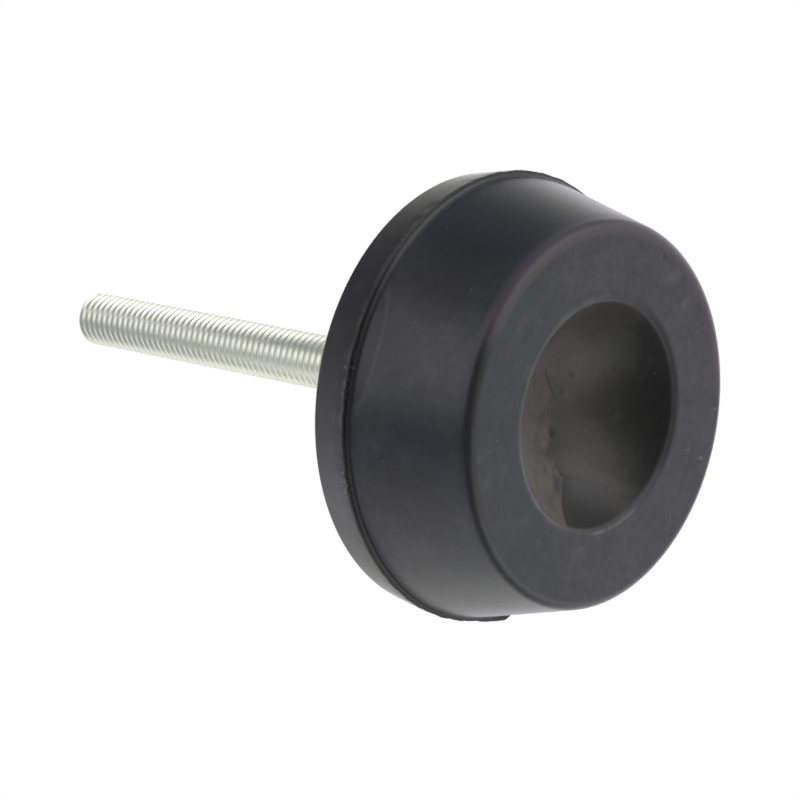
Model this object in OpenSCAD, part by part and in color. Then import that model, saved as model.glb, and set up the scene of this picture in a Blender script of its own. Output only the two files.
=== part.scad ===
// Anti-vibration mount: a rubber foot moulded onto a steel plate that carries a threaded stud.
// It stands on its foot face with the stud upwards. The stud's axis is +Z, and the origin is the
// middle of the floor under it. The rubber comes from a two-part mould: the foot half makes the
// taper, the foot face and its recess, and the rear half makes the band that holds the plate.

/* [Rubber body] */
// Thickness of the rubber, from the foot face to the rear face
body_h = 30; // [28:0.5:45]
// Height of the mould's parting plane above the foot face
parting_h = 22; // [16:0.5:24]
// Diameter of the band at the rear face
rear_d = 77.4; // [76:0.2:84]
// Diameter of the band at the parting plane, where the mount is widest
lip_d = 80; // [79:0.2:88]
// Diameter of the taper at the parting plane, inside the ledge
shoulder_d = 78.3; // [72:0.1:79.5]
// Diameter of the foot face, to the sharp corner before its edge is rounded
foot_d = 67.2; // [56:0.2:72]
// Radius of the rounded edge round the foot face
edge_r = 1.9; // [0.5:0.1:4]
// Radius of the rounded edge round the rear face
rear_edge_r = 0.6; // [0.2:0.1:1.5]
// Sideways offset of the foot half of the mould from the rear half
mould_shift = 0.8; // [0:0.1:1.2]

/* [Foot recess] */
// Diameter of the recess at the foot face, to the sharp corner before its rim is rounded
recess_d = 40.2; // [24:0.2:48]
// Depth of the recess at its middle
recess_depth = 10; // [4:0.5:12]
// Radius of the rounded rim of the recess
rim_r = 2; // [0.4:0.1:3]
// Sideways offset of the recess's core from the stud's axis
recess_shift = 0.6; // [0:0.1:0.8]

/* [Backing plate] */
// Diameter of the steel plate in the rear face
plate_d = 68; // [40:1:72]
// Thickness of the steel plate
plate_t = 3; // [2:0.5:5]

/* [Stud] */
// Major diameter of the stud's thread
stud_d = 10; // [6:1:12]
// Length of the stud beyond the rear face
stud_length = 99.4; // [20:0.2:150]
// Chamfer at the stud's tip
tip_chamfer = 1; // [0.5:0.1:1.5]
// Step from the thread out to the neck that is pressed into the plate
neck_step = 0.5; // [0.3:0.1:1]
// Diameter of the stud's head, under the plate
head_d = 18; // [16:0.5:26]
// Thickness of the stud's head
head_t = 4; // [2:0.5:6]

/* [Fits] */
// Radial clearance between the stud's neck and the hole in the plate
neck_clearance = 0.05; // [0.02:0.01:0.2]
// Radial bond line between the rubber and the steel that it is moulded round
bond_line = 0.05; // [0.02:0.01:0.2]

/* [Hidden] */

$fn = 128;

rear_r = rear_d / 2;
lip_r = lip_d / 2;
shoulder_r = shoulder_d / 2;
foot_r = foot_d / 2;
recess_r = recess_d / 2;
plate_r = plate_d / 2;
stud_r = stud_d / 2;
neck_r = stud_r + neck_step;
head_r = head_d / 2;

plate_z = body_h - plate_t;
head_z = plate_z - head_t;

// Reach of a cutting tool past the face that it cuts through
overcut = 1;

// The recess is the cap of a sphere, which meets the foot face at recess_r.
bowl_r = (recess_r * recess_r + recess_depth * recess_depth) / (2 * recess_depth);
bowl_centre = [0, recess_depth - bowl_r];

// The rim's arc touches the foot face on one side and the bowl on the other.
rim_centre = [sqrt(pow(bowl_r + rim_r, 2) - pow(rim_r - bowl_centre.y, 2)), rim_r];
rim_on_bowl = bowl_centre + bowl_r * unit(rim_centre - bowl_centre);

function unit(v) = v / norm(v);

function half_angle(corner, a, b) = acos(unit(a - corner) * unit(b - corner)) / 2;

function tangent_point(corner, a, b, r) =
    corner + r / tan(half_angle(corner, a, b)) * unit(a - corner);

function arc_centre(corner, a, b, r) =
    corner + r / sin(half_angle(corner, a, b)) * unit(unit(a - corner) + unit(b - corner));

// An outline whose corner number i is rounded to the radius r
module rounded_outline(points, i, r) {
    corner = points[i];
    before = points[i - 1];
    after = points[i + 1];
    arc_ends = [tangent_point(corner, before, after, r), tangent_point(corner, after, before, r)];
    polygon([for (k = [0:len(points) - 1]) each (k == i ? arc_ends : [points[k]])]);
    translate(arc_centre(corner, before, after, r))
        circle(r = r);
}

// Half section of the recess with its rounded rim
module recess_section() {
    translate(bowl_centre)
        circle(r = bowl_r);
    difference() {
        polygon([
            [0, -overcut],
            [rim_centre.x, -overcut],
            rim_centre,
            rim_on_bowl,
            [0, rim_on_bowl.y]
        ]);
        translate(rim_centre)
            circle(r = rim_r);
    }
}

// What the foot half of the mould makes: the taper and the foot face
module foot_half() {
    rotate_extrude()
        rounded_outline([[0, 0], [foot_r, 0], [shoulder_r, parting_h], [0, parting_h]], 1, edge_r);
}

// What the core in the foot half leaves: the recess with its rounded rim
module recess() {
    rotate_extrude()
        intersection() {
            recess_section();
            translate([0, -overcut])
                square([recess_r + rim_r, recess_depth + 2 * overcut]);
        }
}

// What the rear half of the mould makes: the band, which widens towards the parting plane
module rear_half() {
    rotate_extrude()
        rounded_outline([[0, parting_h], [lip_r, parting_h], [rear_r, body_h], [0, body_h]], 2, rear_edge_r);
}

// The space that the plate and the stud's head fill in the rubber
module insert_space() {
    translate([0, 0, plate_z])
        cylinder(h = plate_t + overcut, r = plate_r + bond_line);
    translate([0, 0, head_z])
        cylinder(h = head_t + overcut, r = head_r + bond_line);
}

module rubber_body() {
    color([0.20, 0.21, 0.22])
        difference() {
            union() {
                translate([0, mould_shift, 0])
                    foot_half();
                rear_half();
            }
            translate([0, recess_shift, 0])
                recess();
            insert_space();
        }
}

module backing_plate() {
    color([0.72, 0.73, 0.70])
        translate([0, 0, plate_z])
            difference() {
                cylinder(h = plate_t, r = plate_r);
                translate([0, 0, -overcut])
                    cylinder(h = plate_t + 2 * overcut, r = neck_r + neck_clearance);
            }
}

// Head, neck and shank are turned on one axis. The thread runs the whole length of the shank.
module stud() {
    color([0.80, 0.80, 0.75])
        rotate_extrude()
            polygon([
                [0, head_z],
                [head_r, head_z],
                [head_r, plate_z],
                [neck_r, plate_z],
                [neck_r, body_h],
                [stud_r, body_h],
                [stud_r, body_h + stud_length - tip_chamfer],
                [stud_r - tip_chamfer, body_h + stud_length],
                [0, body_h + stud_length]
            ]);
}

rubber_body();
backing_plate();
stud();
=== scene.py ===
import math
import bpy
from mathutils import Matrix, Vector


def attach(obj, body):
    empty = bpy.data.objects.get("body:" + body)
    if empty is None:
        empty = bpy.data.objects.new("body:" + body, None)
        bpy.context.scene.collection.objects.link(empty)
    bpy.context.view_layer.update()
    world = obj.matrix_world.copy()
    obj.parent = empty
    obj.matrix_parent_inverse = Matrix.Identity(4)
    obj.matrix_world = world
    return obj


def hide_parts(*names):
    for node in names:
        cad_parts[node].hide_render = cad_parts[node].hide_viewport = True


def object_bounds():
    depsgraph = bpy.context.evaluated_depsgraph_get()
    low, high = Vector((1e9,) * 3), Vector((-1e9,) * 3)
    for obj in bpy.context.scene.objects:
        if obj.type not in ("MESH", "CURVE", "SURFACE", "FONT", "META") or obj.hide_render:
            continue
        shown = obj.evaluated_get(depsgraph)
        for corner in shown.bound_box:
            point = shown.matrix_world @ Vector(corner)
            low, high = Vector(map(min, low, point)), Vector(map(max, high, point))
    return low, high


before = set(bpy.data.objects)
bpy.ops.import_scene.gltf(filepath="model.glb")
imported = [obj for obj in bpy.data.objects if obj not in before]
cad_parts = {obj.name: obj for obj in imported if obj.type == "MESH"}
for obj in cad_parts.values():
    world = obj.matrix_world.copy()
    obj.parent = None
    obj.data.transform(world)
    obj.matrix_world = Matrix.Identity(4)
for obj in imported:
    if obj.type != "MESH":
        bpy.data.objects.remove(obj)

from types import SimpleNamespace

import bmesh
import bpy
import mathutils
from mathutils import Matrix, Vector

cad_low, cad_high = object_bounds()

# ---------------------------------------------------------------------------------------------
# Rubber body: one black rubber moulding, vulcanised round the steel in its rear face. The foot
# half of the mould makes the taper, the foot face and its bowl. The rear half makes the band,
# which is widest at the parting line, where it leaves a thin ledge.
# ---------------------------------------------------------------------------------------------
mm = 0.001
body_top = 30 * mm
parting_height = 22 * mm
rear_radius = 38.7 * mm
lip_radius = cad_high.x
shoulder_radius = 39.15 * mm
foot_radius = 33.6 * mm
foot_edge_radius = 1.9 * mm
rear_edge_radius = 0.6 * mm
lip_edge_radius = 0.18 * mm
mould_shift = 0.8 * mm
recess_shift = 0.6 * mm
recess_radius = 20.1 * mm
recess_depth = 10 * mm
rim_radius = 2 * mm
tear_depth = 0.16 * mm
tear_rate = 14
flap_height = 0.85 * mm
flap_end = math.radians(157.5)
flap_peak = math.radians(161.5)
flap_start = math.radians(172.5)
ledge_fillet = 0.7 * mm
fillet_share = 0.55
fillet_steps = 6
plate_radius = 34 * mm
plate_thickness = 3 * mm
head_radius = 9 * mm
head_thickness = 4 * mm
bond_line = 0.05 * mm
body_segments = 480
sharp_angle = math.radians(35)
foot_support = 0.15 * mm
rear_support = 0.12 * mm
on_axis = 1e-9
same_point = 1e-7

plate_base = body_top - plate_thickness
head_base = plate_base - head_thickness


def straight(start, end, steps, support=0.0):
    """Points from start to end, with one more close to each end where support is given."""
    length = math.dist(start, end)
    places = [i / steps for i in range(steps + 1)]
    if support:
        places = [0, support / length] + places[1:-1] + [1 - support / length, 1]
    return [tuple(a + (b - a) * t for a, b in zip(start, end)) for t in places]


def arc(centre, radius, start, end, steps):
    """Points on an arc of an outline, from the start angle to the end angle in degrees."""
    angles = [math.radians(start + (end - start) * i / steps) for i in range(steps + 1)]
    return [(centre[0] + radius * math.cos(a), centre[1] + radius * math.sin(a)) for a in angles]


def rounded_corner(before, corner, after, radius, steps):
    """The arc that rounds one corner of an outline."""
    to_before = (Vector(before) - Vector(corner)).normalized()
    to_after = (Vector(after) - Vector(corner)).normalized()
    half = to_before.angle(to_after) / 2
    first = Vector(corner) + to_before * radius / math.tan(half)
    last = Vector(corner) + to_after * radius / math.tan(half)
    centre = Vector(corner) + (to_before + to_after).normalized() * radius / math.sin(half)
    start = math.atan2(*(first - centre).yx)
    turn = (math.atan2(*(last - centre).yx) - start + math.pi) % math.tau - math.pi
    return arc(centre, radius, math.degrees(start), math.degrees(start + turn), steps)


def shifted(run, across):
    """A run of outline points, with its axis moved sideways."""
    return [(*point[:2], across) for point in run]


def ledge_run():
    """The hollow that fills the corner between the taper and the thin ledge, then the ledge."""
    slope = (shoulder_radius - foot_radius) / parting_height
    run = []
    for i in range(fillet_steps + 1):
        turn = math.pi / 2 * i / fillet_steps
        out = fillet_share * (1 - math.cos(turn))
        drop = ledge_fillet * (1 - math.sin(turn))
        radius = shoulder_radius + out * (lip_radius - shoulder_radius) - slope * drop
        run.append((radius, parting_height - drop, mould_shift * (1 - out)))
    return run


def join_runs(*runs):
    """One outline from several runs, without the points that two runs share."""
    outline = []
    for point in (p for run in runs for p in run):
        if not outline or math.dist(point, outline[-1]) > same_point:
            outline.append(point)
    return outline


def flash(turn):
    """How far the lip's edge stands out at one place round it: torn in, or out in one flap."""
    place = Vector((math.cos(turn), math.sin(turn), 0)) * tear_rate
    torn = min(1.0, max(0.0, 0.5 + mathutils.noise.fractal(place, 0.5, 2.0, 4)))
    rise = (turn - flap_end) / (flap_peak - flap_end)
    fall = (flap_start - turn) / (flap_start - flap_peak)
    flap = max(0.0, min(rise, fall))
    return flap_height * flap - tear_depth * torn * (1 - flap)


def smooth_mesh(shape, mesh, sharp):
    """Turns the faces outward, shades them smooth up to a sharp angle, and fills the mesh."""
    bmesh.ops.recalc_face_normals(shape, faces=shape.faces)
    for face in shape.faces:
        face.smooth = True
    shape.to_mesh(mesh)
    shape.free()
    mesh.set_sharp_from_angle(angle=sharp)


def add_object(name, data):
    """A new object in the scene, at the origin."""
    added = bpy.data.objects.new(name, data)
    bpy.context.scene.collection.objects.link(added)
    return added


def revolve(name, outline, segments, closed=False):
    """A solid turned from an outline of (radius, height, sideways shift of the axis). The outline
    starts and ends on the axis, or is closed and makes a ring."""
    shape = bmesh.new()
    rings = []
    for radius, height, across in outline:
        ring = []
        for i in range(1 if radius < on_axis else segments):
            turn = math.tau * i / segments
            reach = radius + (flash(turn) if radius > lip_radius - lip_edge_radius else 0)
            ring.append(shape.verts.new((reach * math.cos(turn),
                                         reach * math.sin(turn) + across,
                                         height)))
        rings.append(ring)
    for lower, upper in zip(rings, rings[1:] + (rings[:1] if closed else [])):
        for i in range(segments):
            j = (i + 1) % segments
            corners = [lower[i % len(lower)], lower[j % len(lower)],
                       upper[j % len(upper)], upper[i % len(upper)]]
            shape.faces.new(dict.fromkeys(corners))
    mesh = bpy.data.meshes.new(name)
    smooth_mesh(shape, mesh, sharp_angle)
    return add_object(name, mesh)


bowl_radius = (recess_radius ** 2 + recess_depth ** 2) / (2 * recess_depth)
bowl_centre = (0, recess_depth - bowl_radius)
rim_centre_radius = math.sqrt((bowl_radius + rim_radius) ** 2 - (rim_radius - bowl_centre[1]) ** 2)
rim_centre = (rim_centre_radius, rim_radius)
bowl_edge_angle = math.degrees(math.atan2(rim_centre[1] - bowl_centre[1], rim_centre[0]))

foot_corner = (foot_radius, 0)
shoulder = (shoulder_radius, parting_height)
lip = (lip_radius, parting_height)
rear_corner = (rear_radius, body_top)
pocket_radius = plate_radius + bond_line
head_pocket_radius = head_radius + bond_line
pocket_corner = (pocket_radius, body_top)

ledge = ledge_run()
taper_end = ledge[0][:2]
foot_edge = rounded_corner((0, 0), foot_corner, shoulder, foot_edge_radius, steps=14)
lip_edge = rounded_corner(shoulder, lip, rear_corner, lip_edge_radius, steps=4)
rear_edge = rounded_corner(lip, rear_corner, pocket_corner, rear_edge_radius, steps=6)
lip_edge_shift = mould_shift * lip_edge_radius / (lip_radius - shoulder_radius)
rubber_outline = join_runs(
    shifted(arc(bowl_centre, bowl_radius, 90, bowl_edge_angle, steps=30), recess_shift),
    shifted(arc(rim_centre, rim_radius, 180 + bowl_edge_angle, 270, steps=10), recess_shift),
    straight((rim_centre[0], 0, recess_shift), (*foot_edge[0], mould_shift), 8, foot_support),
    shifted(foot_edge, mould_shift),
    shifted(straight(foot_edge[-1], taper_end, 12, foot_support), mould_shift),
    ledge,
    [(*lip_edge[0], lip_edge_shift)],
    shifted(lip_edge[1:], 0),
    shifted(straight(lip_edge[-1], rear_edge[0], 6, rear_support), 0),
    shifted(rear_edge, 0),
    shifted(straight(rear_edge[-1], pocket_corner, 3, rear_support), 0),
    shifted([(pocket_radius, plate_base), (head_pocket_radius, plate_base),
             (head_pocket_radius, head_base), (0, head_base)], 0),
)
rubber = revolve("rubber_moulding", rubber_outline, body_segments)


def add_node(tree, kind, settings=(), **inputs):
    """A new shader or geometry node. Inputs take a value or another node's output socket."""
    node = tree.nodes.new(kind)
    for key, value in dict(settings).items():
        setattr(node, key, value)
    for key, value in inputs.items():
        numbered = key[0] == "i" and key[1:].isdigit()
        socket = node.inputs[int(key[1:]) if numbered else key.replace("_", " ")]
        if isinstance(value, bpy.types.NodeSocket):
            tree.links.new(value, socket)
        else:
            socket.default_value = value
    return node


def new_material(name):
    """An empty node material and its tree."""
    material = bpy.data.materials.new(name)
    material.use_nodes = True
    material.node_tree.nodes.clear()
    return material, material.node_tree


def figure(tree, operation, *values):
    """The result of one sum on sockets or numbers."""
    return add_node(tree, "ShaderNodeMath", {"operation": operation},
                    **{f"i{k}": v for k, v in enumerate(values)}).outputs[0]


def times(tree, first, *others):
    """The product of sockets or numbers."""
    for other in others:
        first = figure(tree, "MULTIPLY", first, other)
    return first


def plus(tree, first, *others):
    """The sum of sockets or numbers."""
    for other in others:
        first = figure(tree, "ADD", first, other)
    return first


def ramp(tree, value, start, end, low=0.0, high=1.0):
    """A soft step from low to high as the value goes from start to end."""
    return add_node(tree, "ShaderNodeMapRange", {"interpolation_type": "SMOOTHSTEP"}, Value=value,
                    From_Min=start, From_Max=end, To_Min=low, To_Max=high).outputs["Result"]


def layer(tree, mask, below, above, blend="MIX"):
    """One colour laid over another, or added to it, where the mask is 1."""
    mix = add_node(tree, "ShaderNodeMix", {"data_type": "RGBA", "blend_type": blend})
    for socket, value in ((mix.inputs[0], mask), (mix.inputs[6], below), (mix.inputs[7], above)):
        if isinstance(value, bpy.types.NodeSocket):
            tree.links.new(value, socket)
        else:
            socket.default_value = (*value, 1) if isinstance(value, tuple) else value
    return mix.outputs[2]


def noise(tree, place, scale, detail=2.0, rough=0.5):
    """Cloudy noise from 0 to 1, mostly near a half."""
    return add_node(tree, "ShaderNodeTexNoise", Vector=place, Scale=scale, Detail=detail,
                    Roughness=rough).outputs["Fac"]


def distance_out(tree, x, y):
    """How far a point lies from an axis."""
    return figure(tree, "SQRT", plus(tree, times(tree, x, x), times(tree, y, y)))


def distance_from(tree, place, centre, size, turn=0.0):
    """How far a point lies from a mark's centre, as a share of the mark's size (mm)."""
    marked = add_node(tree, "ShaderNodeMapping", {"vector_type": "TEXTURE"}, Vector=place,
                      Location=[c * mm for c in centre], Rotation=(0, 0, math.radians(turn)),
                      Scale=[c * mm for c in size])
    return add_node(tree, "ShaderNodeVectorMath", {"operation": "LENGTH"},
                    i0=marked.outputs["Vector"]).outputs["Value"]


def any_mark(tree, place, marks, outer, inner):
    """One mask for several marks, each fading in from its outer to its inner distance."""
    mask = 0.0
    for centre, size, turn in marks:
        mark = ramp(tree, distance_from(tree, place, centre, size, turn), outer, inner)
        mask = figure(tree, "MAXIMUM", mask, mark)
    return mask


def rubber_places(tree):
    """The sockets that say where on the rubber a point lies, and the noises used all over it."""
    place = add_node(tree, "ShaderNodeTexCoord").outputs["Object"]
    spot = add_node(tree, "ShaderNodeSeparateXYZ", Vector=place).outputs
    x, y, z = spot["X"], spot["Y"], spot["Z"]
    across = figure(tree, "SUBTRACT", y, recess_shift)
    radius = distance_out(tree, x, across)
    in_bowl = times(tree, ramp(tree, z, 0.2 * mm, 0.9 * mm), ramp(tree, radius, 20.6 * mm, 19.9 * mm))
    on_face = times(tree, ramp(tree, z, 0.3 * mm, 0.05 * mm), ramp(tree, radius, 20.4 * mm, 21.4 * mm))
    on_rim = times(tree, ramp(tree, radius, 19.9 * mm, 20.3 * mm),
                   ramp(tree, radius, 22.6 * mm, 21.4 * mm), ramp(tree, z, 3 * mm, 2 * mm))
    # The upper side of the taper: painted shade darkens it, and its rubber is glossier.
    shaded_glossy_side = times(tree, ramp(tree, x, 16 * mm, 32 * mm), ramp(tree, z, 2 * mm, 5 * mm))
    return SimpleNamespace(
        place=place, x=x, y=y, z=z, across=across, radius=radius,
        in_bowl=in_bowl, on_face=on_face, on_rim=on_rim, shaded_glossy_side=shaded_glossy_side,
        mottle=noise(tree, place, 260.0, 4.0, 0.6), cloud=noise(tree, place, 48.0, 3.0, 0.55))


def moulded_skin(tree, at):
    """Bare rubber: a fine mottle, and bloom that turns it bluish or purplish in broad clouds."""
    bluish_black = (0.034, 0.042, 0.049)
    purplish_black = (0.048, 0.046, 0.057)
    bloomed = (0.061, 0.063, 0.069)
    pale_mottle = (0.078, 0.081, 0.090)
    dark_mottle = (0.024, 0.025, 0.028)
    smudged = (0.028, 0.029, 0.032)

    fine = noise(tree, at.place, 620.0, 3.0, 0.6)
    smudge = noise(tree, at.place, 115.0, 3.0, 0.6)
    hue = plus(tree, noise(tree, at.place, 31.0, 2.0),
               ramp(tree, at.y, -24 * mm, 20 * mm, low=-0.10, high=0.22))
    skin = layer(tree, ramp(tree, hue, 0.38, 0.62), bluish_black, purplish_black)
    skin = layer(tree, ramp(tree, at.cloud, 0.38, 0.68, high=0.75), skin, bloomed)
    skin = layer(tree, ramp(tree, at.mottle, 0.42, 0.70, high=0.55), skin, pale_mottle)
    skin = layer(tree, ramp(tree, fine, 0.60, 0.36, high=0.38), skin, dark_mottle)
    return layer(tree, ramp(tree, smudge, 0.52, 0.38, high=0.4), skin, smudged)


def mould_rings(tree, at, skin):
    """Faint rings that the turned mould left round the bowl, and pale flecks on the same face."""
    ring_blue = (0.024, 0.046, 0.055)
    fleck_grey = (0.14, 0.14, 0.145)

    turned = add_node(tree, "ShaderNodeCombineXYZ", X=times(tree, at.radius, 4.0),
                      Y=times(tree, at.x, 0.3), Z=times(tree, at.across, 0.3)).outputs["Vector"]
    rings = times(tree, ramp(tree, noise(tree, turned, 120.0, 2.0), 0.45, 0.65), at.on_face,
                  ramp(tree, at.y, -6 * mm, -20 * mm, low=0.25))
    skin = layer(tree, times(tree, rings, 0.7), skin, ring_blue)
    flecks = times(tree, at.on_face, ramp(tree, noise(tree, at.place, 1300.0, 2.0), 0.64, 0.72),
                   ramp(tree, noise(tree, at.place, 110.0, 1.0), 0.45, 0.65))
    return layer(tree, times(tree, flecks, 0.5), skin, fleck_grey)


def side_tones(tree, at, skin):
    """Painted shade: darker patches on the taper for its darker reflections, and a darker rear band."""
    side_shade_black = (0.018, 0.021, 0.024)
    band_shade_black = (0.012, 0.012, 0.015)
    # Each patch of painted shade: its centre and half sizes (mm), its colour and its strength.
    patches = (
        ((27, -24, 11), (12, 11, 16), (0.007, 0.009, 0.012), 0.85),
        ((-8, -33.5, 8), (6, 6, 15), (0.012, 0.023, 0.027), 0.6),
        ((-20, -30, 12), (9, 12, 13), (0.022, 0.021, 0.026), 0.6),
        ((16, -33, 13), (9, 8, 10), (0.026, 0.025, 0.030), 0.45),
        ((4, -37, 17), (7.5, 7, 7), (0.018, 0.018, 0.021), 0.5),
    )

    for centre, size, colour, strength in patches:
        patch = ramp(tree, distance_from(tree, at.place, centre, size), 1.1, 0.35)
        skin = layer(tree, times(tree, patch, strength), skin, colour)
    # Painted shade darkens one side, round a highlight that its glossier rubber makes sharper.
    skin = layer(tree, times(tree, at.shaded_glossy_side, 0.5), skin, side_shade_black)
    # Painted shade on the lower near part of the rear band.
    band = times(tree, ramp(tree, at.z, 22.2 * mm, 22.8 * mm), ramp(tree, at.y, -5 * mm, -25 * mm),
                 ramp(tree, at.x, -24 * mm, -8 * mm),
                 ramp(tree, at.mottle, 0.35, 0.65, low=0.95, high=0.7))
    return layer(tree, band, skin, band_shade_black)


def bowl_dust(tree, at, skin):
    """A drab floor, brown dust down its near side, and painted shade down its deep side. Also
    gives where the brown dust lies."""
    drab = (0.038, 0.039, 0.037)
    thin_dust = (0.084, 0.076, 0.067)
    thick_dust = (0.145, 0.132, 0.118)
    dark_dust = (0.040, 0.033, 0.026)
    blotched = (0.026, 0.025, 0.023)
    # Each patch: its centre and half sizes (mm), its turn (degrees), its colour and its strength.
    patches = (
        ((9.5, -3.5, 6), (5, 7.5, 60), 0, (0.074, 0.076, 0.068), 0.85),
        ((2.5, 8.5, 8), (5.2, 4.4, 60), 0, (0.016, 0.015, 0.013), 0.9),
        ((-5, 8, 8), (5, 6, 60), 0, (0.054, 0.054, 0.053), 0.8),
        ((-9.3, 6, 6), (2.2, 5.5, 60), 6, (0.080, 0.080, 0.077), 0.75),
        ((-10.6, 11.5, 6), (1.5, 4.5, 60), 14, (0.082, 0.082, 0.082), 0.8),
        # The last three patches are painted shade down the bowl's deep side.
        ((3.5, 20.5, 0), (10, 12.8, 60), 0, (0.003, 0.003, 0.003), 0.98),
        ((-6, 21, 0), (10, 6.5, 60), 0, (0.006, 0.006, 0.006), 0.95),
        ((15.5, 13, 0), (8, 4, 60), -40, (0.006, 0.006, 0.006), 0.9),
    )

    blotch = noise(tree, at.place, 330.0, 4.0, 0.65)
    centred_blotch = figure(tree, "SUBTRACT", blotch, 0.5)
    skin = layer(tree, times(tree, at.in_bowl, 0.8), skin, drab)
    clean = distance_from(tree, at.place, (0, 13, 5), (22, 14.5, 60))
    ragged = plus(tree, clean, times(tree, centred_blotch, 1.1))
    brown = times(tree, ramp(tree, ragged, 0.80, 1.30), at.in_bowl)
    dust = layer(tree, ramp(tree, at.x, 2 * mm, -12 * mm), thin_dust, thick_dust)
    dust = layer(tree, ramp(tree, at.x, 7 * mm, 13 * mm), dust, dark_dust)
    skin = layer(tree, times(tree, brown, 0.9), skin, dust)
    wander = times(tree, centred_blotch, 1.4)
    for centre, size, turn, colour, strength in patches:
        apart = plus(tree, distance_from(tree, at.place, centre, size, turn), wander)
        patch = times(tree, ramp(tree, apart, 1.25, 0.45), at.in_bowl, strength)
        skin = layer(tree, patch, skin, colour)
    speckled = times(tree, at.in_bowl, ramp(tree, blotch, 0.60, 0.38, high=0.3))
    return layer(tree, speckled, skin, blotched), brown


def peeled_film(tree, at, skin):
    """A tongue of film has peeled from the bowl, and left a sharp edge and a cleaner patch. The patch
    has painted shade by its edge and a painted rim shadow at its bottom; the edge has a painted
    highlight. Also gives where the film is gone."""
    slant_x = -0.462
    slant_y = 0.887
    top_slant = 0.06
    bared_grey = (0.055, 0.055, 0.061)
    patch_shadow_black = (0.016, 0.016, 0.017)
    edge_shade = (0.022, 0.022, 0.022)
    film_edge_highlight = (0.11, 0.105, 0.092)

    side = plus(tree, times(tree, at.x, slant_x), times(tree, at.y, slant_y))
    top = plus(tree, at.x, times(tree, at.y, top_slant))
    film = times(tree, ramp(tree, side, 7.5 * mm, 7.8 * mm), at.in_bowl,
                 ramp(tree, top, -10.4 * mm, -11.2 * mm))
    # Painted rim shadow towards the patch's bottom, and painted shade by the film's edge.
    bared_and_shaded = layer(tree, ramp(tree, at.x, -12.5 * mm, -17.5 * mm), bared_grey, patch_shadow_black)
    bared_and_shaded = layer(tree, ramp(tree, side, 10.5 * mm, 7.8 * mm, high=0.7), bared_and_shaded, edge_shade)
    # A painted highlight streak along the film's edge.
    edge = times(tree, ramp(tree, side, 6.6 * mm, 7.4 * mm), at.in_bowl,
                 ramp(tree, top, -9.6 * mm, -11.2 * mm), ramp(tree, at.y, 15.5 * mm, 12 * mm))
    skin = layer(tree, times(tree, edge, 0.5), skin, film_edge_highlight)
    patch = times(tree, film, ramp(tree, at.y, 15 * mm, 9.5 * mm), 0.9)
    return layer(tree, patch, skin, bared_and_shaded), film


def flow_line(tree, at, skin):
    """A line where two fronts of rubber met on the taper, just under the ledge."""
    cold_rubber = (0.018, 0.019, 0.018)
    seam_grey = (0.085, 0.084, 0.083)

    wander = times(tree, figure(tree, "SUBTRACT", at.mottle, 0.5), 0.3)
    front = plus(tree, distance_from(tree, at.place, (3.5, -38, 22), (11, 9, 3.3)), wander)
    skin = layer(tree, ramp(tree, front, 1.0, 0.85, high=0.75), skin, cold_rubber)
    seam = times(tree, ramp(tree, front, 0.84, 0.98), ramp(tree, front, 1.14, 1.02),
                 ramp(tree, at.z, 21.4 * mm, 20.9 * mm))
    return layer(tree, times(tree, seam, 0.4), skin, seam_grey)


def edge_light_and_shade(tree, at, skin):
    """The foot edge has a painted highlight on one side and painted shade on another. The bowl's rim
    has painted highlights down its near side and at the bottom, and painted shade at its deep side."""
    edge_highlight_grey = (0.108, 0.098, 0.113)
    edge_shade_black = (0.008, 0.008, 0.010)
    rim_highlight_grey = (0.098, 0.096, 0.088)
    rim_highlight_pale = (0.135, 0.136, 0.145)
    rim_shade_black = (0.008, 0.008, 0.009)

    edge = times(tree, ramp(tree, at.radius, 30.9 * mm, 32.3 * mm), ramp(tree, at.z, 3.0 * mm, 1.0 * mm))
    # Painted highlight on the upper side of the foot edge.
    painted_tone = times(tree, edge, ramp(tree, at.x, 6 * mm, 13 * mm, low=0.1, high=0.75))
    skin = layer(tree, painted_tone, skin, edge_highlight_grey)
    # Painted shade on the near, lower side of the foot edge.
    foot_edge_shade = times(tree, edge, ramp(tree, at.x, 10 * mm, 4 * mm), ramp(tree, at.y, -6 * mm, -14 * mm),
                   ramp(tree, at.x, -29 * mm, -14 * mm, low=0.15, high=0.75))
    skin = layer(tree, foot_edge_shade, skin, edge_shade_black)

    # Painted highlights on the bowl's rim, near side and bottom, and painted shade at its deep side.
    line = times(tree, ramp(tree, at.radius, 20.1 * mm, 20.4 * mm),
                 ramp(tree, at.radius, 21.6 * mm, 20.9 * mm))
    streaky = times(tree, line, ramp(tree, at.mottle, 0.35, 0.55, low=0.4))
    near = ramp(tree, at.y, 0, -7 * mm)
    bottom = times(tree, ramp(tree, at.x, -12 * mm, -16 * mm), ramp(tree, at.y, 3 * mm, 6 * mm),
                   ramp(tree, at.radius, 20.95 * mm, 20.75 * mm))
    deep = times(tree, ramp(tree, at.y, 4 * mm, 12 * mm), ramp(tree, at.x, -10 * mm, -3 * mm))
    skin = layer(tree, times(tree, streaky, near, 0.55), skin, rim_highlight_grey)
    skin = layer(tree, times(tree, streaky, bottom), skin, rim_highlight_pale)
    return layer(tree, times(tree, line, deep, 0.8), skin, rim_shade_black)


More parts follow.
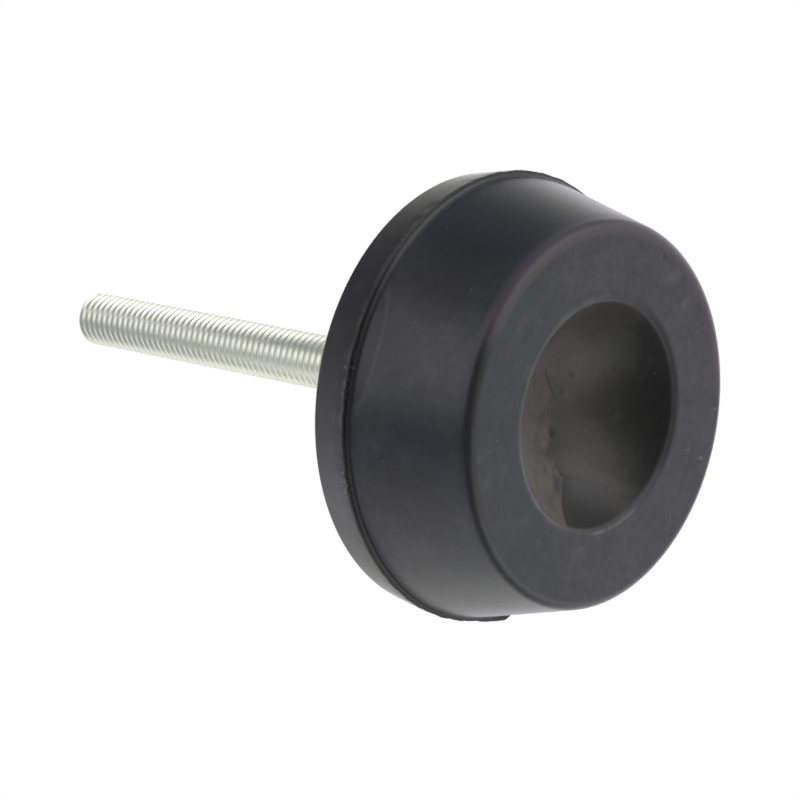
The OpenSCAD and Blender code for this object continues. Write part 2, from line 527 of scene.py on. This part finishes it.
def ledge_light_and_flash(tree, at, skin):
    """The corner under the lip has a painted highlight on one side and painted shade on the other. The
    lip has a painted highlight, painted shade on one side, and pale crumbs of flash."""
    corner_highlight_grey = (0.10, 0.10, 0.102)
    gap_shade_black = (0.012, 0.012, 0.014)
    lip_highlight_grey = (0.10, 0.10, 0.108)
    lip_shade_black = (0.008, 0.007, 0.005)
    crumb_grey = (0.30, 0.30, 0.29)

    # Painted highlight in the corner on its upper side, and painted shade in the corner's gap.
    corner = times(tree, ramp(tree, at.z, 20.9 * mm, 21.5 * mm), ramp(tree, at.z, 22.2 * mm, 22.05 * mm),
                   ramp(tree, at.x, 14 * mm, 24 * mm, high=0.5))
    skin = layer(tree, corner, skin, corner_highlight_grey)
    gap = times(tree, ramp(tree, at.z, 21.55 * mm, 21.85 * mm), ramp(tree, at.z, 22.12 * mm, 22.02 * mm),
                ramp(tree, at.x, 20 * mm, 6 * mm, high=0.85))
    skin = layer(tree, gap, skin, gap_shade_black)

    # Painted highlight along the lip, and painted shade on its lower side.
    on_lip = times(tree, ramp(tree, at.z, 22.05 * mm, 22.25 * mm), ramp(tree, at.z, 23.2 * mm, 22.5 * mm))
    shaded_lip = ramp(tree, at.x, -6 * mm, -16 * mm)
    lit_lip = times(tree, ramp(tree, at.mottle, 0.42, 0.6, low=0.1, high=0.6),
                 figure(tree, "SUBTRACT", 1.0, shaded_lip))
    skin = layer(tree, times(tree, on_lip, lit_lip), skin, lip_highlight_grey)
    skin = layer(tree, times(tree, on_lip, shaded_lip, 0.75), skin, lip_shade_black)

    crumbs = times(tree, ramp(tree, noise(tree, at.place, 2000.0, 1.0), 0.60, 0.68),
                   ramp(tree, noise(tree, at.place, 90.0, 1.0), 0.44, 0.58),
                   ramp(tree, at.y, -28 * mm, -35 * mm, low=0.1))
    on_ledge = times(tree, ramp(tree, at.radius, 38.9 * mm, 39.4 * mm),
                     ramp(tree, at.z, 21.8 * mm, 22.0 * mm), ramp(tree, at.z, 24.2 * mm, 22.6 * mm))
    return layer(tree, times(tree, crumbs, on_ledge, 0.7), skin, crumb_grey)


def small_marks(tree, at, skin):
    """Dust specks all over, then the pits with painted shade in them, smears and scuffs, each where it
    lies. Also gives where the pits are."""
    dust_grey = (0.19, 0.19, 0.19)
    pit_shade_black = (0.009, 0.009, 0.009)
    smear_black = (0.020, 0.021, 0.023)
    bloom_grey = (0.145, 0.152, 0.165)
    scuff_grey = (0.24, 0.24, 0.24)
    # Each mark: its centre and half sizes (mm), and its turn (degrees). A smear has its colour and
    # its strength too. The last pit is a hairline.
    pit_marks = (
        ((29.5, 8.9, 0), (0.6, 0.6, 1), 0),
        ((6.1, 2.0, 9.2), (0.45, 0.8, 2), 10),
        ((2.9, 1.1, 9.8), (0.3, 0.5, 2), 0),
        ((-11.1, 2.4, 7.3), (0.4, 0.5, 2), 0),
        ((-4.6, 0.4, 9.6), (0.8, 1.1, 2), 30),
        ((3.85, -3.25, 9.2), (5.6, 0.16, 3), 124.5),
    )
    smears = (
        ((10.4, -22.5, 0), (2.2, 0.9, 1), 50, smear_black, 0.6),
        ((11.9, -23.2, 0), (0.7, 1.2, 1), 20, smear_black, 0.6),
        ((26.4, 12.6, 0), (3.2, 1.6, 1), 60, bloom_grey, 0.35),
        ((22.5, 17.5, 0), (2.0, 1.2, 1), 30, bloom_grey, 0.35),
    )
    scuff_marks = (
        ((5.5, 31.9, 0), (1.0, 0.4, 1), 70),
        ((-0.2, 31.1, 0), (0.7, 0.5, 1), 20),
        ((-3.6, 30.4, 0), (1.4, 0.5, 1), 80),
        ((-2.6, 26.5, 0), (0.5, 0.5, 1), 0),
        ((-16.2, -7.8, 2), (0.2, 1.9, 4), 8),
        ((-16.9, -6.8, 2), (0.2, 2.1, 4), 4),
        ((-17.6, -5.0, 2), (0.2, 1.5, 4), 12),
    )

    dust = add_node(tree, "ShaderNodeTexVoronoi", Vector=at.place, Scale=420.0).outputs
    chosen = add_node(tree, "ShaderNodeSeparateColor", Color=dust["Color"]).outputs[0]
    specks = times(tree, ramp(tree, dust["Distance"], 0.085, 0.045), ramp(tree, chosen, 0.80, 0.86))
    skin = layer(tree, times(tree, specks, 0.55), skin, dust_grey)
    # Painted shade darkens each pit.
    pits = any_mark(tree, at.place, pit_marks, outer=1.15, inner=0.5)
    skin = layer(tree, times(tree, pits, 0.85), skin, pit_shade_black)
    for centre, size, turn, colour, strength in smears:
        smear = ramp(tree, distance_from(tree, at.place, centre, size, turn), 1.2, 0.1)
        skin = layer(tree, times(tree, smear, strength), skin, colour)
    scuffs = times(tree, any_mark(tree, at.place, scuff_marks, outer=1.1, inner=0.3),
                   ramp(tree, noise(tree, at.place, 900.0, 2.0), 0.42, 0.62))
    return layer(tree, times(tree, scuffs, 0.45), skin, scuff_grey), pits


def rubber_finish():
    """Moulded black rubber: a satin skin clouded by bloom, dusty in the bowl, with painted highlights
    and shade at its edges.
    """
    bare_roughness = 0.35
    grain_depth = 0.010 * mm
    wave_depth = 0.045 * mm
    film_depth = 0.05 * mm
    pit_depth = 0.05 * mm

    material, tree = new_material("moulded_rubber")
    at = rubber_places(tree)
    skin = moulded_skin(tree, at)
    skin = mould_rings(tree, at, skin)
    skin = side_tones(tree, at, skin)
    skin, brown = bowl_dust(tree, at, skin)
    skin, film = peeled_film(tree, at, skin)
    skin = flow_line(tree, at, skin)
    skin = edge_light_and_shade(tree, at, skin)
    skin = ledge_light_and_flash(tree, at, skin)
    skin, pits = small_marks(tree, at, skin)

    roughness = plus(tree, bare_roughness, times(tree, at.cloud, 0.08), times(tree, at.in_bowl, 0.08),
                     times(tree, brown, 0.1),
                     times(tree, at.on_rim, ramp(tree, at.x, -12 * mm, -2 * mm, high=0.22)),
                     times(tree, at.shaded_glossy_side, -0.07))
    relief = plus(tree, times(tree, noise(tree, at.place, 2200.0), grain_depth),
                  times(tree, noise(tree, at.place, 170.0, 3.0), wave_depth),
                  times(tree, film, film_depth))
    relief = figure(tree, "SUBTRACT", relief, times(tree, pits, pit_depth))
    bump = add_node(tree, "ShaderNodeBump", Strength=1.0, Distance=1.0, Height=relief)
    surface = add_node(tree, "ShaderNodeBsdfPrincipled", Base_Color=skin, Roughness=roughness,
                       Normal=bump.outputs["Normal"])
    add_node(tree, "ShaderNodeOutputMaterial", Surface=surface.outputs["BSDF"])
    return material


rubber.data.materials.append(rubber_finish())
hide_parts("rubber_body")
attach(rubber, "root")

# ---------------------------------------------------------------------------------------------
# Backing plate: a stamped steel disc, zinc plated, bonded flush into the rear of the rubber.
# The stud is pressed through its middle.
# ---------------------------------------------------------------------------------------------
neck_radius = 5.5 * mm
neck_clearance = 0.05 * mm
plate_edge_radius = 0.25 * mm
plate_edge_steps = 4
plate_segments = 192
plate_tint = (0.84, 0.84, 0.77)
plate_roughness = 0.36

plate_bore = neck_radius + neck_clearance
plate_points = [(plate_bore, plate_base), (plate_radius, plate_base),
                (plate_radius, body_top), (plate_bore, body_top)]


def ring_outline(points, radius, steps):
    """The outline of a flat ring with all its corners rounded."""
    runs = []
    for i, corner in enumerate(points):
        after = points[(i + 1) % len(points)]
        runs.append(rounded_corner(points[i - 1], corner, after, radius, steps))
    return [p for run in runs for p in run]


plate_outline = shifted(ring_outline(plate_points, plate_edge_radius, plate_edge_steps), 0)
plate = revolve("steel_plate", plate_outline, plate_segments, closed=True)


def zinc_finish(name, tint, dull, painted_tone=None):
    """Bright zinc plating over steel, a little yellow. Where a band of radii is given, it turns from one
    radius to another into a darker tint, which is painted shade."""
    cloud_scale = 260.0
    dimmed = (tint[0] * 0.88, tint[1] * 0.88, tint[2] * 0.84)

    material, tree = new_material(name)
    place = add_node(tree, "ShaderNodeTexCoord").outputs["Object"]
    cloud = noise(tree, place, cloud_scale, 4.0)
    colour = add_node(tree, "ShaderNodeValToRGB", Fac=cloud)
    colour.color_ramp.elements[0].color = (*dimmed, 1)
    colour.color_ramp.elements[1].color = (*tint, 1)
    plating = colour.outputs["Color"]
    roughness = add_node(tree, "ShaderNodeMapRange", Value=cloud,
                         To_Min=dull * 0.75, To_Max=dull * 1.25).outputs["Result"]
    if painted_tone:
        inner, outer, shaded_tint = painted_tone
        spot = add_node(tree, "ShaderNodeSeparateXYZ", Vector=place).outputs
        radius = distance_out(tree, spot["X"], spot["Y"])
        plating = layer(tree, ramp(tree, radius, inner, outer), plating, shaded_tint)
    metal = add_node(tree, "ShaderNodeBsdfPrincipled", Base_Color=plating,
                     Metallic=1.0, Roughness=roughness)
    add_node(tree, "ShaderNodeOutputMaterial", Surface=metal.outputs["BSDF"])
    return material


plate.data.materials.append(zinc_finish("plate_zinc", plate_tint, plate_roughness))
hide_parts("backing_plate")
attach(plate, "root")

# ---------------------------------------------------------------------------------------------
# Stud: steel, zinc plated, with a coarse right-hand thread rolled along the whole shank. Its
# neck is pressed into the plate, and its head sits under the plate in the rubber.
# ---------------------------------------------------------------------------------------------
thread_pitch = 1.5 * mm
thread_major = 5 * mm
thread_depth = 0.87 * mm
stud_tip = cad_high.z
tip_radius = 4 * mm
thread_segments = 64
profile_steps = 12
start_angle = math.radians(175)
# Shares of a pitch from the crest's middle line at which the flank meets the root and the crest.
root_share = 5 / 12
crest_share = 1 / 12
merge_distance = 1e-6
thread_sharp_angle = math.radians(40)
stud_tint = (0.955, 0.985, 0.90)
stud_roughness = 0.32
# The crests turn a darker tint: painted shade for their darker reflection.
crest_shade = (thread_major - 0.25 * mm, thread_major - 0.05 * mm, (0.80, 0.82, 0.78))


def thread_tree(material):
    """A helical strip, one pitch wide, is wound up the shank and cut square at both ends."""
    tree = bpy.data.node_groups.new("rolled_thread", "GeometryNodeTree")
    sizes = {"Pitch": thread_pitch, "Crest Radius": thread_major,
             "Root Radius": thread_major - thread_depth, "Base Height": body_top,
             "Tip Height": stud_tip, "Tip Radius": tip_radius, "Start Angle": start_angle}
    panel = tree.interface
    panel.new_socket("Geometry", in_out="INPUT", socket_type="NodeSocketGeometry")
    for name in sizes:
        panel.new_socket(name, in_out="INPUT", socket_type="NodeSocketFloat")
    panel.new_socket("Geometry", in_out="OUTPUT", socket_type="NodeSocketGeometry")
    given = tree.nodes.new("NodeGroupInput").outputs

    def calc(operation, *values):
        return figure(tree, operation, *values)

    # A flat grid: X counts turns and Y runs across one pitch.
    span = calc("SUBTRACT", given["Tip Height"], given["Base Height"])
    turns = calc("CEIL", calc("ADD", calc("DIVIDE", span, given["Pitch"]), 1.5))
    columns = calc("ADD", calc("MULTIPLY", turns, float(thread_segments)), 1.0)
    strip = add_node(tree, "GeometryNodeMeshGrid", Size_X=turns, Size_Y=1.0, Vertices_X=columns,
                     Vertices_Y=profile_steps + 1)
    spot = add_node(tree, "ShaderNodeSeparateXYZ",
                    Vector=add_node(tree, "GeometryNodeInputPosition").outputs[0]).outputs
    turn = calc("ADD", spot["X"], calc("MULTIPLY", turns, 0.5))
    along = calc("ADD", spot["Y"], 0.5)

    # Its height as it is wound up the shank, held between the base and the tip.
    wound = calc("MULTIPLY", calc("ADD", turn, calc("SUBTRACT", along, 1.25)), given["Pitch"])
    height = calc("MAXIMUM", calc("ADD", given["Base Height"], wound), given["Base Height"])
    height = calc("MINIMUM", height, given["Tip Height"])

    # Its radius: root, flank and crest, with a chamfer at the tip and a run out at the base.
    rise = add_node(tree, "ShaderNodeMapRange", Value=calc("ABSOLUTE", spot["Y"]),
                    From_Min=root_share, From_Max=crest_share)
    depth = calc("SUBTRACT", given["Crest Radius"], given["Root Radius"])
    radius = calc("MULTIPLY_ADD", rise.outputs["Result"], depth, given["Root Radius"])
    chamfer = calc("ADD", given["Tip Radius"], calc("SUBTRACT", given["Tip Height"], height))
    run_out = calc("ADD", given["Root Radius"], calc("SUBTRACT", height, given["Base Height"]))
    radius = calc("MINIMUM", calc("MINIMUM", radius, chamfer), run_out)

    angle = calc("ADD", calc("MULTIPLY", turn, math.tau), given["Start Angle"])
    place = add_node(tree, "ShaderNodeCombineXYZ", X=calc("MULTIPLY", radius, calc("COSINE", angle)),
                     Y=calc("MULTIPLY", radius, calc("SINE", angle)), Z=height)
    thread = add_node(tree, "GeometryNodeSetPosition", Geometry=strip.outputs["Mesh"],
                      Position=place.outputs["Vector"])
    closed = add_node(tree, "GeometryNodeMergeByDistance", Geometry=thread.outputs["Geometry"],
                      Distance=merge_distance)
    real = add_node(tree, "GeometryNodeRealizeInstances", Geometry=closed.outputs["Geometry"])
    dressed = add_node(tree, "GeometryNodeSetMaterial", Geometry=real.outputs["Geometry"],
                       Material=material)
    add_node(tree, "NodeGroupOutput", Geometry=dressed.outputs["Geometry"])
    return tree, sizes


stud_metal = zinc_finish("stud_zinc", stud_tint, stud_roughness, crest_shade)
stud_seed = add_object("stud_seed", bpy.data.meshes.new("stud_seed"))
winding_tree, winding_sizes = thread_tree(stud_metal)
winding = stud_seed.modifiers.new("rolled_thread", "NODES")
winding.node_group = winding_tree
for socket in winding_tree.interface.items_tree:
    if socket.in_out == "INPUT" and socket.name in winding_sizes:
        winding[socket.identifier] = winding_sizes[socket.name]
stud_mesh = bpy.data.meshes.new_from_object(
    stud_seed.evaluated_get(bpy.context.evaluated_depsgraph_get()))
bpy.data.objects.remove(stud_seed)


def close_stud(mesh):
    """Carries the thread's base ring out to the neck and head, in the same metal, and caps both
    ends."""
    shape = bmesh.new()
    shape.from_mesh(mesh)
    bmesh.ops.remove_doubles(shape, verts=shape.verts, dist=merge_distance)
    bmesh.ops.dissolve_degenerate(shape, edges=shape.edges, dist=same_point)
    thread_face = next(iter(shape.faces))
    lowest = body_top + thread_pitch
    ring = [v for v in shape.verts if v.is_boundary and v.co.z < lowest]
    ring.sort(key=lambda v: math.atan2(v.co.y, v.co.x))
    for radius, height in [(neck_radius, body_top), (neck_radius, plate_base),
                           (head_radius, plate_base), (head_radius, head_base)]:
        inner = ring
        ring = []
        for vertex in inner:
            flat = vertex.co.xy.normalized() * radius
            ring.append(shape.verts.new((flat.x, flat.y, height)))
        for i, vertex in enumerate(ring):
            shape.faces.new((inner[i - 1], inner[i], vertex, ring[i - 1]), thread_face)
    bmesh.ops.holes_fill(shape, edges=[e for e in shape.edges if e.is_boundary])
    smooth_mesh(shape, mesh, thread_sharp_angle)


close_stud(stud_mesh)
stud = add_object("threaded_stud", stud_mesh)
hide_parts("stud")
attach(stud, "root")

# ---------------------------------------------------------------------------------------------
# Camera: it looks up at the foot face from below, turned so that the stud lies to the left. A
# long lens keeps the perspective slight.
# ---------------------------------------------------------------------------------------------
camera_lens = 153.34
camera_distance = 0.5822
camera_elevation = math.radians(-42.35)
camera_roll = math.radians(78.63)
camera_target = Vector((-0.00398, -0.02272, 0.02493))

camera = add_object("camera", bpy.data.cameras.new("camera"))
bpy.context.scene.camera = camera
camera.data.lens = camera_lens
camera.data.clip_start = 0.01
camera.data.clip_end = 20
back = Vector((0, -math.cos(camera_elevation), math.sin(camera_elevation)))
aim = (-back).to_track_quat("-Z", "Y").to_matrix() @ Matrix.Rotation(-camera_roll, 3, "Z")
camera.matrix_world = Matrix.Translation(camera_target + back * camera_distance) @ aim.to_4x4()

# ---------------------------------------------------------------------------------------------
# Studio: a pale floor that is seen from above only, soft white panels all round, and a lamp
# overhead that gives the floor its shadow.
# ---------------------------------------------------------------------------------------------
floor_reach = 1.5
floor_height = -0.2 * mm
floor_grey = (0.86, 0.86, 0.86, 1)

floor_corners = [(-floor_reach, -floor_reach, floor_height), (floor_reach, -floor_reach, floor_height),
                 (floor_reach, floor_reach, floor_height), (-floor_reach, floor_reach, floor_height)]
floor_mesh = bpy.data.meshes.new("floor")
floor_mesh.from_pydata(floor_corners, [], [(0, 1, 2, 3)])
floor = add_object("floor", floor_mesh)
floor_material, floor_tree = new_material("floor_paper")
paper = add_node(floor_tree, "ShaderNodeBsdfDiffuse", Color=floor_grey)
clear = add_node(floor_tree, "ShaderNodeBsdfTransparent")
facing = add_node(floor_tree, "ShaderNodeNewGeometry").outputs["Backfacing"]
sided = add_node(floor_tree, "ShaderNodeMixShader", i0=facing, i1=paper.outputs[0],
                 i2=clear.outputs[0])
add_node(floor_tree, "ShaderNodeOutputMaterial", Surface=sided.outputs[0])
floor.data.materials.append(floor_material)
floor.visible_shadow = False
floor.visible_diffuse = False
floor.visible_glossy = False

# Each panel: where it stands (right, up and away along the camera's own axes), its half angle in
# degrees, how much of that is soft edge, and its colour.
panels = {
    "right_softbox": ((0.80, 0.47, -0.38), 40, 24, (1.75, 1.69, 1.66)),
    "left_softbox": ((-0.78, 0.32, -0.53), 33, 31, (1.95, 1.88, 2.05)),
    "low_softbox": ((0.80, -0.58, -0.16), 29, 27, (2.15, 2.09, 1.98)),
    "back_wall": ((0.21, -0.10, 0.97), 73, 69, (1.09, 1.09, 1.03)),
    "right_wall": ((0.55, -0.06, 0.83), 52, 31, (1.04, 0.99, 1.19)),
    "left_wall": ((-0.82, -0.10, 0.56), 29, 17, (1.27, 1.23, 1.25)),
    "low_card": ((-0.54, -0.72, -0.44), 29, 27, (0.98, 0.99, 1.21)),
    "table": ((-0.42, -0.85, 0.31), 43, 26, (1.05, 1.02, 1.00)),
    "ceiling": ((0.09, 0.99, 0.05), 29, 17, (0.20, 0.25, 0.38)),
}
# Camera and transmission rays see plain white. Glossy rays see it for a share, over the panels.
gloss_share = 0.25

world = bpy.data.worlds.new("studio")
bpy.context.scene.world = world
world.use_nodes = True
sky_tree = world.node_tree
sky_tree.nodes.clear()
look = add_node(sky_tree, "ShaderNodeTexCoord").outputs["Generated"]
light = (0, 0, 0)
for stand, half_angle, soft, colour in panels.values():
    ahead = aim @ Vector((stand[0], stand[1], -stand[2])).normalized()
    towards = add_node(sky_tree, "ShaderNodeVectorMath", {"operation": "DOT_PRODUCT"},
                       i0=look, i1=tuple(ahead)).outputs["Value"]
    edge = math.cos(math.radians(half_angle))
    full = math.cos(math.radians(half_angle - soft))
    light = layer(sky_tree, ramp(sky_tree, towards, edge, full), light, colour, "ADD")
ray = add_node(sky_tree, "ShaderNodeLightPath").outputs
shown = figure(sky_tree, "MAXIMUM", ray["Is Camera Ray"], ray["Is Transmission Ray"])
shown = figure(sky_tree, "MAXIMUM", shown, times(sky_tree, ray["Is Glossy Ray"], gloss_share))
seen = layer(sky_tree, shown, light, (1, 1, 1))
sky = add_node(sky_tree, "ShaderNodeBackground", Color=seen, Strength=1.0)
add_node(sky_tree, "ShaderNodeOutputWorld", Surface=sky.outputs[0])

lamp_size = 0.5
lamp_watts = 0.8
lamp_place = Vector((0, 0.42, 0.6))

lamp = add_object("overhead", bpy.data.lights.new("overhead", "AREA"))
lamp.data.shape = "DISK"
lamp.data.size = lamp_size
lamp.data.energy = lamp_watts
lamp.location = lamp_place
lamp.rotation_euler = (-lamp_place).to_track_quat("-Z", "Y").to_euler()

bpy.context.scene.view_settings.view_transform = "Standard"
